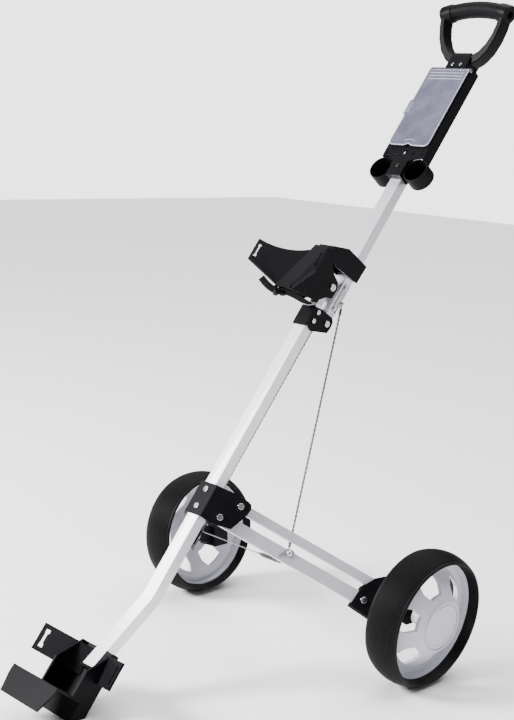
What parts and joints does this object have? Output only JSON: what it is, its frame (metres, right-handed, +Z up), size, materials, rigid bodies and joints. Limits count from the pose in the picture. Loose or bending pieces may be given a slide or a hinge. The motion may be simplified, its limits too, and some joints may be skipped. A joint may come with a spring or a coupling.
{
  "type": "golf push trolley",
  "caption": "Folding golf push trolley: bent square shaft, folding upper handle with console and D-grip, two splayed parallelogram wheel legs, foot bracket and upper bag bracket.",
  "frame": {"origin": "on the ground, midway between the wheels, at the middle of the overall length", "axes": "+X to the right-hand wheel seen from behind, +Y back toward the person pushing, +Z up"},
  "size_m": [0.6516, 1.0208, 1.1587],
  "materials": {
    "tube": "satin anodised",
    "bracket": "fine texture",
    "console": "fine texture",
    "handle_moulding": "satin",
    "grip": "soft foam",
    "lid": "clear smoked",
    "rim": "satin moulded",
    "hub_cap": "satin moulded",
    "tyre": "ribbed",
    "steel": "polished",
    "dark_steel": "dull",
    "link": "dull",
    "wire": "drawn",
    "strap": "webbing",
    "buckle": "moulded"
  },
  "bodies": {
    "lower_frame": {"lower_tube": "tube", "foot_body": "bracket", "foot_toe": "bracket", "foot_wing_right": "bracket", "foot_wing_left": "bracket", "foot_screws": "steel", "knuckle_front": "bracket", "knuckle_rear": "bracket", "knuckle_rivets": "steel", "leg_pins_right": "steel", "leg_pins_left": "steel", "hinge_bracket": "bracket", "hinge_rivets": "steel", "fold_pin": "steel", "cradle_link": "link", "cradle_yoke": "bracket", "cradle_wing_right": "bracket", "cradle_wing_left": "bracket", "cradle_bolt": "steel", "tube_clip": "bracket", "bag_strap": "strap", "strap_buckle": "buckle"},
    "handle": {"upper_tube": "tube", "wire_anchor_right": "link", "wire_anchor_left": "link", "anchor_screws": "steel", "console_tray": "console", "console_screws": "dark_steel", "ball_cup_right": "console", "ball_cup_left": "console", "lid_pin": "steel", "handle_socket": "handle_moulding", "handle_arm_right": "handle_moulding", "handle_arm_left": "handle_moulding", "handle_grip": "grip", "socket_screws": "steel"},
    "lid": {"card_lid": "lid"},
    "lower_leg_right": {"lower_bar_right": "tube", "wire_stud_right": "steel"},
    "upper_leg_right": {"upper_bar_right": "tube"},
    "axle_arm_right": {"axle_bracket_right": "bracket", "bracket_pins_right": "steel", "axle_right": "steel"},
    "wheel_right": {"rim_right": "rim", "tyre_right": "tyre", "hub_cap_right": "hub_cap"},
    "wire_right": {"pull_wire_right": "wire"},
    "lower_leg_left": {"lower_bar_left": "tube", "wire_stud_left": "steel"},
    "upper_leg_left": {"upper_bar_left": "tube"},
    "axle_arm_left": {"axle_bracket_left": "bracket", "bracket_pins_left": "steel", "axle_left": "steel"},
    "wheel_left": {"rim_left": "rim", "tyre_left": "tyre", "hub_cap_left": "hub_cap"},
    "wire_left": {"pull_wire_left": "wire"},
    "tie": {"tie_wire": "wire", "tie_spring": "wire"}
  },
  "joints": [
    {"name": "handle_fold", "type": "hinge", "parent": "lower_frame", "child": "handle", "pos_m": [0, 0.11131, 0.57471], "axis": [-1, 0, 0], "range_deg": [0, 160]},
    {"name": "lid_hinge", "type": "hinge", "parent": "handle", "child": "lid", "pos_m": [0, 0.42541, 1.02804], "axis": [-1, 0, 0], "range_deg": [0, 110]},
    {"name": "lower_leg_fold_right", "type": "hinge", "parent": "lower_frame", "child": "lower_leg_right", "pos_m": [0.02803, -0.13791, 0.2686], "axis": [-0.749, 0.5278, -0.4006], "range_deg": [0, 48]},
    {"name": "upper_leg_fold_right", "type": "hinge", "parent": "lower_frame", "child": "upper_leg_right", "pos_m": [0.04261, -0.10483, 0.28492], "axis": [-0.749, 0.5278, -0.4006], "range_deg": [0, 48]},
    {"name": "axle_arm_turn_right", "type": "hinge", "parent": "lower_leg_right", "child": "axle_arm_right", "pos_m": [0.21091, 0.02674, 0.14362], "axis": [-0.749, 0.5278, -0.4006], "range_deg": [-48, 0]},
    {"name": "wheel_spin_right", "type": "hinge", "parent": "axle_arm_right", "child": "wheel_right", "pos_m": [0.2875, 0.1033, 0.11728], "axis": [0.9962, 0, -0.0872], "continuous": true},
    {"name": "wire_swing_right", "type": "hinge", "parent": "lower_leg_right", "child": "wire_right", "pos_m": [0.10478, -0.04823, 0.20932], "axis": [-0.749, 0.5278, -0.4006], "range_deg": [-43.1, 0]},
    {"name": "lower_leg_fold_left", "type": "hinge", "parent": "lower_frame", "child": "lower_leg_left", "pos_m": [-0.02803, -0.13791, 0.2686], "axis": [-0.749, -0.5278, 0.4006], "range_deg": [0, 48]},
    {"name": "upper_leg_fold_left", "type": "hinge", "parent": "lower_frame", "child": "upper_leg_left", "pos_m": [-0.04261, -0.10483, 0.28492], "axis": [-0.749, -0.5278, 0.4006], "range_deg": [0, 48]},
    {"name": "axle_arm_turn_left", "type": "hinge", "parent": "lower_leg_left", "child": "axle_arm_left", "pos_m": [-0.21091, 0.02674, 0.14362], "axis": [-0.749, -0.5278, 0.4006], "range_deg": [-48, 0]},
    {"name": "wheel_spin_left", "type": "hinge", "parent": "axle_arm_left", "child": "wheel_left", "pos_m": [-0.2875, 0.1033, 0.11728], "axis": [0.9962, 0, 0.0872], "continuous": true},
    {"name": "wire_swing_left", "type": "hinge", "parent": "lower_leg_left", "child": "wire_left", "pos_m": [-0.10478, -0.04823, 0.20932], "axis": [-0.749, -0.5278, 0.4006], "range_deg": [-43.1, 0]},
    {"name": "tie_swing", "type": "hinge", "parent": "lower_frame", "child": "tie", "pos_m": [0, -0.17928, 0.29782], "axis": [-1, 0, 0], "range_deg": [0, 38.33]}
  ],
  "couplings": [
    {"joint": "lower_leg_fold_right", "follows": "handle_fold", "ratio": 0.3},
    {"joint": "upper_leg_fold_right", "follows": "handle_fold", "ratio": 0.3},
    {"joint": "axle_arm_turn_right", "follows": "handle_fold", "ratio": -0.3},
    {"joint": "wire_swing_right", "follows": "handle_fold", "ratio": -0.26937},
    {"joint": "lower_leg_fold_left", "follows": "handle_fold", "ratio": 0.3},
    {"joint": "upper_leg_fold_left", "follows": "handle_fold", "ratio": 0.3},
    {"joint": "axle_arm_turn_left", "follows": "handle_fold", "ratio": -0.3},
    {"joint": "wire_swing_left", "follows": "handle_fold", "ratio": -0.26937},
    {"joint": "tie_swing", "follows": "handle_fold", "ratio": 0.23958}
  ]
}
